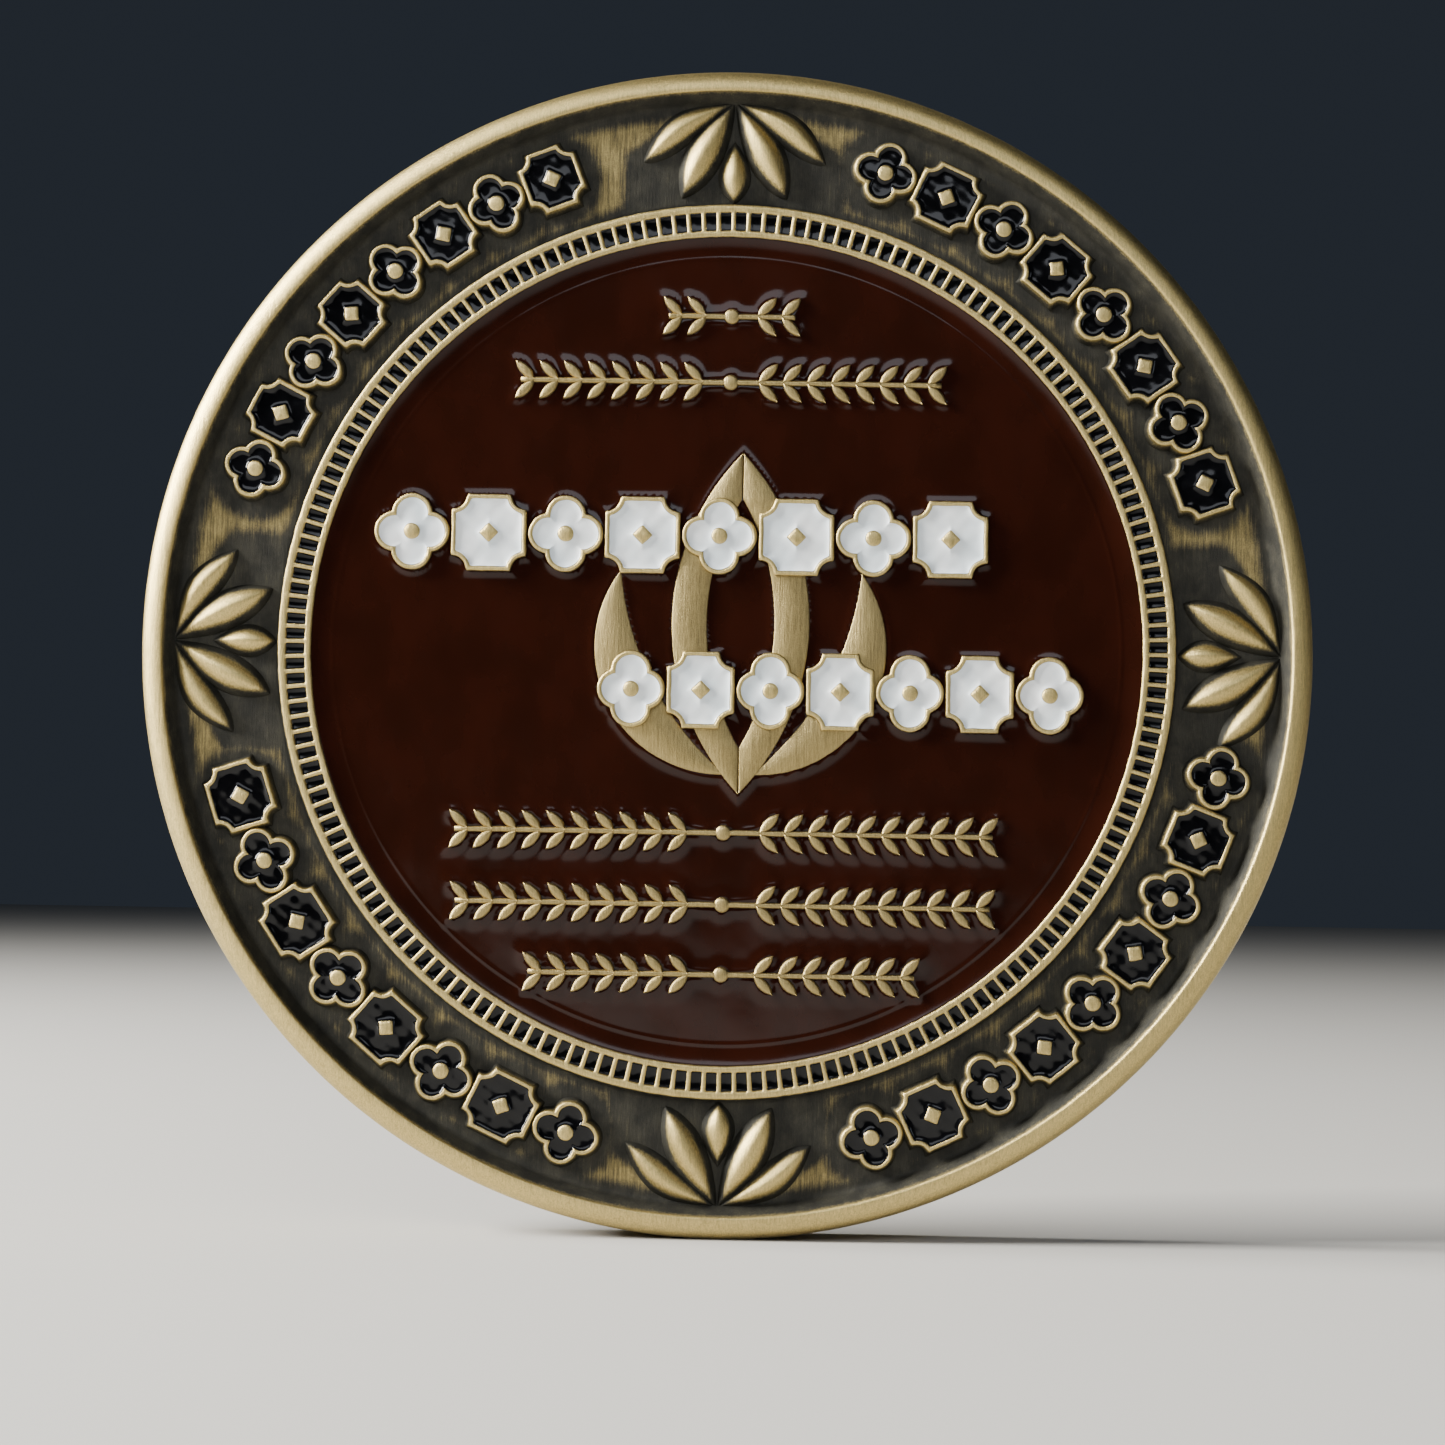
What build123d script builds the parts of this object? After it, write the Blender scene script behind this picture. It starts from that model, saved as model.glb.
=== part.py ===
"""Two-inch challenge coin: a struck brass coin with poured enamel colours.

Every shape is first drawn on a face that lies flat: X to the right, Y up the face, Z out of the
front face, with the origin at the coin's centre, midway through its thickness. upright() then
turns it to stand on its rim, so that the front looks along -Y and +Z is up.
"""
from build123d import *
import os
from math import cos, radians, sin, sqrt

# ---- Driving dimensions, mm -------------------------------------------------------------------

# Coin blank and rim
coin_diameter = 50.8
coin_thickness = 3.5
shoulder_width = 0.6        # radial width of the sloping shoulder outside the rim's crest
shoulder_depth = 0.8        # how far the shoulder drops towards the edge
crest_width = 0.35          # flat top of the rim
rim_slope_width = 0.5       # radial width of the slope from the crest down to the band
root_overlap = 0.1          # how far raised metal is rooted into the metal under it

# Levels, all measured down from the crest of the rim
band_depth = 0.8            # floor of the outer band
ladder_depth = 0.3          # top of the ladder ring, of the frieze and of the garlands
panel_depth = 1.0           # metal floor under the enamel panel
panel_fill_depth = 0.5      # top of the enamel panel
tile_depth = 0.2            # top of the outlined tiles of the two enamel rows

# Band inside the rim, and the ladder ring inside the band
band_width = 4.52
ladder_width = 1.43
outer_line_width = 0.33     # the two thin rings on either side of the windows
inner_line_width = 0.28
window_count = 180
window_open_share = 0.67    # share of each step that is window, the rest is bar
window_pocket = 0.35        # depth of each window pocket
window_fill_gap = 0.08      # how far the window enamel stays below the ladder's top

# Outlined cells that hold enamel, on the frieze and in the two rows
outline_width = 0.18
cell_pocket = 0.3
cell_fill_gap = 0.06

# Frieze on the band: four arcs of cells between the lotus ornaments
frieze_offset = 0.26        # how far the frieze's middle lies outside the middle of the band
frieze_cell_height = 2.7
frieze_arcs = [             # first and last cell edge, degrees clockwise from the top; cells
    (13.75, 73.75, 8),
    (100.3, 166.25, 9),
    (193.4, 256.0, 8),
    (286.5, 342.2, 8),
]
cell_spacing = 0.12         # gap between neighbouring cells
lobe_share = 0.26           # radius of a quatrefoil's lobes, as a share of its height
scoop_share = 0.2           # radius of a cartouche's scooped corners, as a share of its height
bead_radius = 0.36          # raised metal bead in the middle of each quatrefoil
diamond_side = 0.64         # raised metal diamond in the middle of each cartouche

# Two rows of enamelled tiles across the panel
tile_height = 3.3
tile_rows = [               # side it starts from (-1 left, 1 right), gap from the panel's edge
    (-1, 1.39, 11.3, 4.85, 8),      # there, reach past the middle, centre height, cells
    (1, 2.16, 5.6, -1.85, 7),
]

# Large flat emblem behind the rows: an open lotus bud
emblem_depth = 0.4          # top of the emblem, below the rim's crest
emblem_x = 0.6
emblem_y = 1.1
emblem_height = 14.9
emblem_width = 6.0
emblem_opening_height = 10.8
emblem_opening_width = 2.9
crescent_foot = (0.5, -6.6)         # from the emblem's centre, mirrored for the other side
crescent_outer_middle = (6.1, -2.7)
crescent_inner_middle = (4.1, -1.9)
crescent_tip = (5.2, 2.3)

# Five raised garlands above and below the emblem
garlands = [                # side (1 top, -1 bottom), distance from that edge, gap at each end
    (1, 3.5, 7.32),
    (1, 6.4, 4.01),
    (-1, 10.0, 3.92),
    (-1, 6.9, 2.07),
    (-1, 3.9, 2.29),
]
garland_stem_width = 0.26
garland_leaf_length = 1.2
garland_leaf_width = 0.46
garland_leaf_angle = 45
garland_leaf_pitch = 1.05
garland_bare_stem = 0.72    # stem left bare on each side of the middle
garland_bead_radius = 0.34

# Lotus ornaments: (tip angle from the ornament's axis, start, end, width), all from its root
lotus_root_reach = 0.15     # how far the petals' roots run up the rim's slope
lotus_petals = [
    (0, 1.75, 4.55, 1.5),
    (28, 0.0, 4.9, 1.75),
    (-28, 0.0, 4.9, 1.75),
    (55.5, 0.0, 4.85, 1.5),
    (-55.5, 0.0, 4.85, 1.5),
]
petal_sink = 0.15           # how far each petal's axis lies under the band's floor

# Reverse: a plain enamelled groove in place of the windows, and one large flat lotus
reverse_groove_depth = 0.35
reverse_lotus_scale = 3.2   # length of its petals, against those on the band
reverse_petal_width = 4.1
reverse_lotus_root = -7.6

# ---- Worked-out dimensions --------------------------------------------------------------------

coin_radius = coin_diameter / 2
crest = coin_thickness / 2
crest_outer_radius = coin_radius - shoulder_width
crest_inner_radius = crest_outer_radius - crest_width
band_outer_radius = crest_inner_radius - rim_slope_width
band_floor = crest - band_depth
ladder_outer_radius = band_outer_radius - band_width
ladder_top = crest - ladder_depth
ladder_inner_radius = ladder_outer_radius - ladder_width
window_outer_radius = ladder_outer_radius - outer_line_width
window_inner_radius = ladder_inner_radius + inner_line_width
frieze_radius = ladder_outer_radius + band_width / 2 + frieze_offset
lotus_root_radius = band_outer_radius + lotus_root_reach
panel_floor = crest - panel_depth
panel_fill = crest - panel_fill_depth
tile_top = crest - tile_depth
window_fill = ladder_top - window_fill_gap


# ---- Helpers ----------------------------------------------------------------------------------

def slab(sketch, bottom, top):
    """The sketch as a plate between two heights."""
    return extrude(Pos(0, 0, bottom) * sketch, amount=top - bottom, dir=(0, 0, 1))


def panel_half_width(height):
    """Half of the panel's width at a height above or below its centre."""
    return sqrt(ladder_inner_radius ** 2 - height ** 2)


def pointed_oval(length, width):
    """Two arcs that meet in a point at each end, long axis along X."""
    left = (-length / 2, 0)
    right = (length / 2, 0)
    upper = ThreePointArc(left, (0, width / 2), right)
    lower = ThreePointArc(right, (0, -width / 2), left)
    return make_face([upper, lower])


def quatrefoil(width, height, inset=0.0):
    """Four round lobes round a disc, inset by the same distance all round."""
    lobe = height * lobe_share
    reach_x = width / 2 - lobe
    reach_y = height / 2 - lobe
    shape = Circle(min(reach_x, reach_y))
    for x, y in ((reach_x, 0), (-reach_x, 0), (0, reach_y), (0, -reach_y)):
        shape += Pos(x, y) * Circle(lobe - inset)
    return shape


def cartouche(width, height, inset=0.0):
    """A plaque whose four corners are scooped out, inset by the same distance all round."""
    shape = Rectangle(width - 2 * inset, height - 2 * inset)
    for x in (-width / 2, width / 2):
        for y in (-height / 2, height / 2):
            shape -= Pos(x, y) * Circle(height * scoop_share + inset)
    return shape


def cell_outline(kind, width, height, inset=0.0):
    """Outline of one cell: quatrefoils and cartouches take turns along a row."""
    if kind == 0:
        return quatrefoil(width, height, inset)
    return cartouche(width, height, inset)


def cell_stone(kind):
    """The raised metal mark in the middle of a cell."""
    if kind == 0:
        return Circle(bead_radius)
    return Rot(0, 0, 45) * Rectangle(diamond_side, diamond_side)


def make_cell(place, kind, width, height, floor, top):
    """Metal island, its enamel pocket and the enamel for one cell."""
    stone = cell_stone(kind)
    opening = cell_outline(kind, width, height, outline_width) - stone
    island = slab(cell_outline(kind, width, height), floor - root_overlap, top)
    pocket = slab(opening, top - cell_pocket, top + root_overlap)
    fill = slab(opening, top - cell_pocket, top - cell_fill_gap)
    return place * island, place * pocket, place * fill


def lotus():
    """Petals that fan out from the origin towards +Y, each a spindle that lies along its axis."""
    petals = []
    for angle, start, end, width in lotus_petals:
        length = end - start
        half = make_face([
            ThreePointArc((-length / 2, 0), (0, width / 2), (length / 2, 0)),
            Line((length / 2, 0), (-length / 2, 0)),
        ])
        spindle = revolve(half, axis=Axis.X)
        petals.append(Rot(0, 0, 90 - angle) * Pos((start + end) / 2, 0) * spindle)
    return petals


def garland(length, height):
    """A stem with pairs of leaves that point away from a bead in its middle."""
    shape = Rectangle(length - garland_leaf_length, garland_stem_width)
    shape += Circle(garland_bead_radius)
    pairs = int((length / 2 - garland_bare_stem) / garland_leaf_pitch)
    first = length / 2 - garland_leaf_length - (pairs - 1) * garland_leaf_pitch
    leaf = Pos(garland_leaf_length / 2, 0) * pointed_oval(garland_leaf_length, garland_leaf_width)
    for pair in range(pairs):
        foot = first + pair * garland_leaf_pitch
        for side in (-1, 1):
            spray = Pos(foot, 0) * Rot(0, 0, side * garland_leaf_angle) * leaf
            shape += spray
            shape += Rot(0, 0, 180) * spray
    return Pos(0, height) * shape


def emblem():
    """Flat lotus bud: an upright pointed ring between two rising crescents."""
    bud = Rot(0, 0, 90) * pointed_oval(emblem_height, emblem_width)
    bud -= Rot(0, 0, 90) * pointed_oval(emblem_opening_height, emblem_opening_width)
    crescent = make_face([
        ThreePointArc(crescent_foot, crescent_outer_middle, crescent_tip),
        ThreePointArc(crescent_tip, crescent_inner_middle, crescent_foot),
    ])
    bud += crescent
    bud += mirror(crescent, about=Plane.YZ)
    return Pos(emblem_x, emblem_y) * bud


def ladder_windows():
    """Sketch of the small windows between the bars of the ladder ring."""
    half_angle = 360 / window_count * window_open_share / 2
    corners = []
    for radius, side in (
        (window_inner_radius, -1),
        (window_inner_radius, 1),
        (window_outer_radius, 1),
        (window_outer_radius, -1),
    ):
        angle = radians(side * half_angle)
        corners.append((radius * cos(angle), radius * sin(angle)))
    window = Polygon(*corners, align=None)
    return [Rot(0, 0, 360 / window_count * (step + 0.5)) * window for step in range(window_count)]


def upright(shape):
    """Turn a shape from the flat drawing position to the standing coin."""
    return Rot(90, 0, 0) * shape


def reverse_side(shape):
    """Turn a shape drawn for the front face over to the reverse, still right way up."""
    return Rot(0, 180, 0) * shape


# ---- Enamel cells of the frieze and of the rows -----------------------------------------------

islands = []
pockets = []
fills = {}


def add_cell(name, place, kind, width, height, floor, top):
    """Keep one cell's island, pocket and enamel."""
    island, pocket, fill = make_cell(place, kind, width, height, floor, top)
    islands.append(island)
    pockets.append(pocket)
    fills[name] = fill


for arc_number, (begin, finish, count) in enumerate(frieze_arcs, 1):
    step = (finish - begin) / count
    cell_width = radians(step) * frieze_radius - cell_spacing
    for index in range(count):
        clockwise = begin + (index + 0.5) * step
        place = Rot(0, 0, -clockwise) * Pos(0, frieze_radius)
        name = f"frieze_{arc_number}_enamel_{index + 1}"
        add_cell(name, place, index % 2, cell_width, frieze_cell_height, band_floor, ladder_top)

for row_number, (side, edge_gap, reach_past, height, count) in enumerate(tile_rows, 1):
    near_end = panel_half_width(abs(height) + tile_height / 2) - edge_gap
    left = min(side * near_end, -side * reach_past)
    step = (near_end + reach_past) / count
    for index in range(count):
        place = Pos(left + (index + 0.5) * step, height)
        name = f"row_{row_number}_enamel_{index + 1}"
        add_cell(name, place, index % 2, step - cell_spacing, tile_height, panel_floor, tile_top)

# ---- Struck metal body ------------------------------------------------------------------------

half_profile = [
    (0, 0),
    (coin_radius, 0),
    (coin_radius, crest - shoulder_depth),
    (crest_outer_radius, crest),
    (crest_inner_radius, crest),
    (band_outer_radius, band_floor),
    (ladder_outer_radius, band_floor),
    (ladder_outer_radius, ladder_top),
    (ladder_inner_radius, ladder_top),
    (ladder_inner_radius, panel_floor),
    (0, panel_floor),
]
half_section = Rot(90, 0, 0) * Polygon(*half_profile, align=None)
front_half = revolve(half_section, axis=Axis.Z)
blank = front_half + Rot(180, 0, 0) * front_half

windows = ladder_windows()
window_cuts = [slab(window, ladder_top - window_pocket, crest) for window in windows]
window_fills = [slab(window, ladder_top - window_pocket, window_fill) for window in windows]

panel_relief = [slab(emblem(), panel_floor - root_overlap, crest - emblem_depth)]
for side, edge_distance, end_gap in garlands:
    height = side * (ladder_inner_radius - edge_distance)
    length = 2 * (panel_half_width(height) - end_gap)
    panel_relief.append(slab(garland(length, height), panel_floor - root_overlap, ladder_top))

band_lotus = []
for quarter in range(4):
    place = Rot(0, 0, 90 * quarter) * Pos(0, lotus_root_radius, band_floor - petal_sink)
    band_lotus += [place * Rot(0, 0, 180) * petal for petal in lotus()]

flat_lotus = Sketch()
for angle, start, end, _ in lotus_petals:
    length = (end - start) * reverse_lotus_scale
    middle = (start + end) / 2 * reverse_lotus_scale
    petal = pointed_oval(length, reverse_petal_width)
    flat_lotus += Rot(0, 0, 90 - angle) * Pos(middle, 0) * petal
flat_lotus = Pos(0, reverse_lotus_root) * flat_lotus
reverse_relief = slab(flat_lotus, panel_floor - root_overlap, ladder_top)
ring = Circle(window_outer_radius) - Circle(window_inner_radius)
reverse_groove = slab(ring, ladder_top - reverse_groove_depth, crest)
reverse_groove_fill = slab(ring, ladder_top - reverse_groove_depth, window_fill)

front_relief = islands + panel_relief
body = blank.fuse(*front_relief, *band_lotus)
body = body.cut(*pockets, *window_cuts)
body = body.fuse(*[reverse_side(petal) for petal in band_lotus], reverse_side(reverse_relief))
body = body.cut(reverse_side(reverse_groove))

# ---- Enamel panels ----------------------------------------------------------------------------


def pools_round(relief):
    """The separate bodies of enamel that a panel's relief leaves, the largest first."""
    panel = slab(Circle(ladder_inner_radius), panel_floor, panel_fill)
    return sorted(panel.cut(*relief).solids(), key=lambda pool: -pool.volume)


front_pools = pools_round(front_relief)
reverse_pools = [reverse_side(pool) for pool in pools_round([reverse_relief])]

# ---- Write one file for each piece ------------------------------------------------------------

nodes = {
    "coin_body": body,
    "front_panel_enamel": front_pools[0],
    "reverse_panel_enamel": reverse_pools[0],
    "front_ladder_enamel": Compound(window_fills),
    "reverse_ring_enamel": reverse_side(reverse_groove_fill),
}
for number, pool in enumerate(front_pools[1:], 1):
    nodes[f"front_pool_enamel_{number}"] = pool
for number, pool in enumerate(reverse_pools[1:], 1):
    nodes[f"reverse_pool_enamel_{number}"] = pool
nodes.update(fills)

os.makedirs("parts", exist_ok=True)
for name, shape in nodes.items():
    export_step(upright(shape), f"parts/{name}.step")
print(len(nodes), "nodes,", len(front_pools) + len(reverse_pools) - 2, "closed-off pools")
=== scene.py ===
"""Looks of the two-inch challenge coin: struck antique brass with poured enamel colours.

Every surface is worked out in flat millimetres, as the coin lies face up: x to the right, y up
the face, z out of the face, from the coin's centre. front() and reverse() turn that to the
standing coin of the frame, in metres.
"""
import bpy
import math
import numpy as np
from mathutils import Matrix, Vector


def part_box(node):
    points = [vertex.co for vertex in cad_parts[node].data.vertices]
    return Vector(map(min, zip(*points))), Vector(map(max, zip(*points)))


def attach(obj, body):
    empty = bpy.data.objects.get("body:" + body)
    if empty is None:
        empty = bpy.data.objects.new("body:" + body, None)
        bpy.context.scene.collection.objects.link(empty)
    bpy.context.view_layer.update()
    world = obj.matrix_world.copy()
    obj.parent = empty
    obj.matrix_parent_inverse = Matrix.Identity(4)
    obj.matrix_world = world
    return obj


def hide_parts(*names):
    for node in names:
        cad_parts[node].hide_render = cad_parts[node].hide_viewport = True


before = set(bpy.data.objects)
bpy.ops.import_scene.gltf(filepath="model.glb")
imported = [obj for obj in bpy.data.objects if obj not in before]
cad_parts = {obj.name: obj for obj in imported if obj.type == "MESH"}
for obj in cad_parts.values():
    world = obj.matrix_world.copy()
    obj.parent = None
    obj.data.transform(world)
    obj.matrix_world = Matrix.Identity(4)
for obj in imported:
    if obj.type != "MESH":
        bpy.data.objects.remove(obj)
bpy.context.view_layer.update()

# ---- Sizes, mm --------------------------------------------------------------------------------

MM = 0.001
TURN = 2 * math.pi

low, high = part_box("coin_body")
coin_radius = (high[0] - low[0]) / 2 / MM
crest = (high[1] - low[1]) / 2 / MM     # height of the rim's crest above the middle plane

shoulder_width = 0.6
shoulder_depth = 0.8
crest_width = 0.35
crown_inset = 0.08          # from the crest's inner edge to where the rim starts to round off
rim_slope_width = 0.5
edge_flat = 0.75            # half the height of the straight part of the coin's edge
band_floor = crest - 0.8
ladder_top = crest - 0.3
panel_floor = crest - 1.0
panel_fill = crest - 0.5
tile_top = crest - 0.2

crest_inner = coin_radius - shoulder_width - crest_width
band_outer = crest_inner - rim_slope_width
ladder_outer = 19.43
ladder_inner = 18.0
ladder_middle = 18.7        # inside the ring, where its hidden underside closes
window_outer = 19.1
window_inner = 18.28
blank_hollow = 17.0         # under the panel, where the blank starts to rise to the band
window_count = 180
window_share = 0.67         # of each step round the ring, the rest is the bar
pocket_depth = 0.35

outline_width = 0.18
frieze_height = 2.7
tile_height = 3.3
cell_gap = 0.12
lobe_share = 0.26
scoop_share = 0.2
bead_radius = 0.36
diamond_side = 0.64
cell_wander = 0.012         # how far a cell's outline strays, and its enamel with it

# length and height on the panel
garlands = [(6.7, 14.5), (19.5, 11.6), (24.4, -8.0), (24.2, -11.1), (17.8, -14.1)]
leaf_length = 1.2
leaf_width = 0.46
leaf_angle = math.radians(45)
leaf_pitch = 1.05
bare_stem = 0.72            # each side of the middle, with no leaves
stem_width = 0.26
garland_bead_radius = 0.34
leaf_bevel, stem_bevel = 0.1, 0.08

emblem_centre = (0.6, 1.1)
emblem_top = crest - 0.4
emblem_bevel = 0.07
bud_height, bud_width = 14.9, 6.0
opening_height, opening_width = 10.8, 2.9
# points of the right crescent, from the emblem's centre
crescent_foot = (0.5, -6.6)
crescent_outer = (6.1, -2.7)
crescent_inner = (4.1, -1.9)
crescent_tip = (5.2, 2.3)

meniscus_reach = 0.6        # how far from metal the enamel starts to climb
meniscus_height = 0.075     # stays under the emblem's top
edge_reach = 0.9            # the same at the ladder ring's wall, where it climbs further
edge_height = 0.13
hidden_dip = 0.1            # how far the enamel sinks where metal covers it

lotus_root = 24.1
lotus_clear = 4.6           # from the root to where the patina round an ornament ends
lotus_spread = 4.2          # half the width of that patina
cell_clear = 1.55           # the same round the middle of a frieze cell
broad_petal = 1.6           # petals wider than this stand higher
broad_rise, slim_rise = 0.74, 0.6
# angle from the ornament's axis in degrees, start, end, width, sideways bow
petals = [
    (0, 1.75, 4.55, 1.5, 0.0),
    (28, 0.0, 4.9, 1.75, 0.08),
    (-28, 0.0, 4.9, 1.75, -0.08),
    (55.5, 0.0, 4.85, 1.5, 0.3),
    (-55.5, 0.0, 4.85, 1.5, -0.3),
]
reverse_lotus_scale = 3.2
reverse_lotus_root = -7.6
reverse_petal_width = 4.1
reverse_petal_bevel = 0.09
outer_lean = 40             # degrees: petals that lean further lie under their neighbours
overlap_step = 0.03         # how far one of two overlapping flat pieces lies under the other

# ---- Mesh building ----------------------------------------------------------------------------

def front(points):
    """Flat millimetres to the standing coin, front face."""
    return np.stack([points[:, 0], -points[:, 2], points[:, 1]], -1) * MM


def reverse(points):
    """Flat millimetres to the standing coin, reverse face, right way up."""
    return np.stack([-points[:, 0], points[:, 2], points[:, 1]], -1) * MM


def angles(count):
    """Evenly spaced angles round one full turn."""
    return np.arange(count) * TURN / count


def ease(value, low_end, high_end):
    """Smooth step from 0 at the low end to 1 at the high end."""
    t = np.clip((value - low_end) / (high_end - low_end), 0, 1)
    return t * t * (3 - 2 * t)


def wobble(x, y, size):
    """Slow unevenness of a cast and polished surface, a sum of a few crossed waves."""
    wave = np.sin(2.3 * x + 1.7 * y) + np.sin(-1.9 * x + 2.9 * y + 1.0)
    wave = wave + 0.6 * np.sin(5.1 * x - 3.7 * y + 2.0) + 0.6 * np.sin(4.3 * x + 6.1 * y + 4.0)
    return size * wave / 3.2


class Surface:
    """Several closed grids gathered into one mesh, each vertex with its share of polish."""

    def __init__(self):
        self.points = []
        self.polish = []
        self.faces = []
        self.count = 0

    def add(self, grid, polish=0.5, poles=False):
        """Add a closed grid: rows wrap round unless they end in poles, columns always wrap."""
        rows, columns, _ = grid.shape
        index = np.arange(rows * columns).reshape(rows, columns)
        flat = grid.reshape(-1, 3)
        shine = np.broadcast_to(polish, (rows, columns)).reshape(-1)
        if poles:
            index[0] = index[0, 0]
            index[-1] = index[-1, 0]
            here, there = index[:-1], index[1:]
        else:
            here, there = index, np.roll(index, -1, 0)
        beside = np.roll(here, -1, 1)
        across = np.roll(there, -1, 1)
        quads = np.stack([here, beside, across, there], -1).reshape(-1, 4)
        a, b, c, d = (flat[quads[:, k]] for k in range(4))
        volume = np.sum(a * np.cross(b, c)) + np.sum(a * np.cross(c, d))
        if volume < 0:
            quads = quads[:, ::-1]
        self.points.append(flat)
        self.polish.append(shine)
        self.faces.append(quads + self.count)
        self.count += len(flat)

    def build(self, name, material, nodes=(), side=front):
        """Make the object, rid of unused pole vertices, riding on the coin."""
        points = np.concatenate(self.points)
        polish = np.concatenate(self.polish)
        quads = np.concatenate(self.faces)
        used, quads = np.unique(quads, return_inverse=True)
        quads = quads.reshape(-1, 4)
        faces = []
        for a, b, c, d in quads.tolist():
            if a == b or c == d:
                faces.append((a, c, d) if a == b else (a, b, c))
            elif b == c or a == d:
                faces.append((a, b, d) if b == c else (a, b, c))
            else:
                faces.append((a, b, c, d))
        mesh = bpy.data.meshes.new(name)
        mesh.from_pydata(side(points[used]).tolist(), [], faces)
        mesh.polygons.foreach_set("use_smooth", np.ones(len(faces), dtype=bool))
        layer = mesh.attributes.new("polish", "FLOAT", "POINT")
        layer.data.foreach_set("value", polish[used].astype(np.float32))
        mesh.update()
        piece = bpy.data.objects.new(name, mesh)
        bpy.context.scene.collection.objects.link(piece)
        mesh.materials.append(material)
        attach(piece, "root")
        if nodes:
            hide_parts(*nodes)
        return piece


# ---- Outlines ---------------------------------------------------------------------------------

def quatrefoil_radius(angle, width, height, offset):
    """Distance to the outline of four circles of radius q, centred c along each half axis.

    Along a ray at angle a from an axis, r = c cos(a) + sqrt((q + offset)^2 - (c sin(a))^2),
    and the furthest of the four counts.
    """
    lobe = height * lobe_share
    radius = np.zeros_like(angle)
    for axis, half in ((0, width / 2), (math.pi / 2, height / 2)):
        reach = half - lobe
        inside = (lobe + offset) ** 2 - (reach * np.sin(angle - axis)) ** 2
        ray = reach * np.abs(np.cos(angle - axis)) + np.sqrt(np.maximum(inside, 0))
        radius = np.maximum(radius, np.where(inside > 0, ray, 0))
    return np.maximum(radius, min(width, height) / 2 - lobe + offset * 0.3)


def cartouche_radius(angle, width, height, offset):
    """Distance to a plaque with scooped corners: the nearer of its sides and its scoops.

    Sides: min(a / |cos|, b / |sin|). Scoops: D cos(d) - sqrt(q^2 - (D sin(d))^2), with the
    corner at distance D and at angle d from the ray.
    """
    across, along = np.abs(np.cos(angle)), np.abs(np.sin(angle))
    sides = np.minimum((width / 2 + offset) / np.maximum(across, 1e-6),
                       (height / 2 + offset) / np.maximum(along, 1e-6))
    corner = math.hypot(width, height) / 2
    away = np.arctan2(along, across) - math.atan2(height, width)
    scoop = (height * scoop_share - offset) ** 2 - (corner * np.sin(away)) ** 2
    hollow = corner * np.cos(away) - np.sqrt(np.maximum(scoop, 0))
    return np.where(scoop > 0, np.minimum(sides, hollow), sides)


def soft_polygon_radius(angle, sides, offset, sharpness=26):
    """Distance to a convex outline given as (direction, distance) of each side.

    r = (sum over sides of (cos(angle - direction) / (distance + offset))^p)^(-1/p), which
    rounds the corners a little.
    """
    total = 0
    for direction, distance in sides:
        facing = np.maximum(np.cos(angle - direction), 0)
        total = total + (facing / (distance + offset)) ** sharpness
    return total ** (-1 / sharpness)


def cell_radius(kind, angle, width, height, offset):
    """Outline of a cell of the frieze or the rows: quatrefoil 0 or cartouche 1."""
    outline = quatrefoil_radius if kind == 0 else cartouche_radius
    return outline(angle, width, height, offset)


def stone_radius(kind, angle, offset=0.0):
    """Outline of the raised mark in the middle of a cell: a round bead or a diamond."""
    if kind == 0:
        return bead_radius + offset + 0 * angle
    sides = [(math.radians(45 + 90 * k), diamond_side / 2) for k in range(4)]
    return soft_polygon_radius(angle, sides, offset, 12)


def oval_circles(length, width):
    """Radius of the two circles whose overlap is a pointed oval, and how far off centre."""
    radius = (length ** 2 + width ** 2) / (4 * width)
    return radius, radius - width / 2


def oval_distance(x, y, length, width):
    """Distance outside a pointed oval with its long axis along x, negative inside."""
    radius, off = oval_circles(length, width)
    return np.maximum(np.hypot(x, y - off), np.hypot(x, y + off)) - radius


def circle_through(a, b, c):
    """Centre and radius of the circle through three points."""
    ax, ay = b[0] - a[0], b[1] - a[1]
    bx, by = c[0] - a[0], c[1] - a[1]
    d = 2 * (ax * by - ay * bx)
    ux = (by * (ax * ax + ay * ay) - ay * (bx * bx + by * by)) / d
    uy = (ax * (bx * bx + by * by) - bx * (ax * ax + ay * ay)) / d
    return (a[0] + ux, a[1] + uy), math.hypot(ux, uy)


def arc_points(a, b, c, count):
    """Points along the arc from a through b to c."""
    (x, y), radius = circle_through(a, b, c)
    begin, middle, finish = (math.atan2(p[1] - y, p[0] - x) for p in (a, b, c))
    middle = begin + (middle - begin + math.pi) % TURN - math.pi
    finish = middle + (finish - middle + math.pi) % TURN - math.pi
    turn = np.linspace(begin, finish, count)
    return np.stack([x + radius * np.cos(turn), y + radius * np.sin(turn)], -1)


# ---- Where everything lies --------------------------------------------------------------------

def node_centre(name):
    """Middle of a node's box, in flat millimetres on the front face."""
    lowest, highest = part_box(name)
    return (lowest[0] + highest[0]) / 2 / MM, (lowest[2] + highest[2]) / 2 / MM


def find_cells(prefix):
    """(x, y, kind, node) of the enamel nodes with this prefix, in order along their row."""
    names = [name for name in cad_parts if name.startswith(prefix)]
    names.sort(key=lambda name: int(name.rsplit("_", 1)[1]))
    return [(*node_centre(name), number % 2, name) for number, name in enumerate(names)]


frieze_cells = []
for arc_number in range(1, 5):
    cells = find_cells(f"frieze_{arc_number}_enamel_")
    spread = [math.atan2(x, y) % TURN for x, y, _, _ in cells]
    step = (spread[-1] - spread[0]) / (len(cells) - 1)
    radius = math.hypot(*cells[0][:2])
    for (x, y, kind, name), clockwise in zip(cells, spread):
        frieze_cells.append((x, y, -clockwise, kind, step * radius - cell_gap, name))

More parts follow.
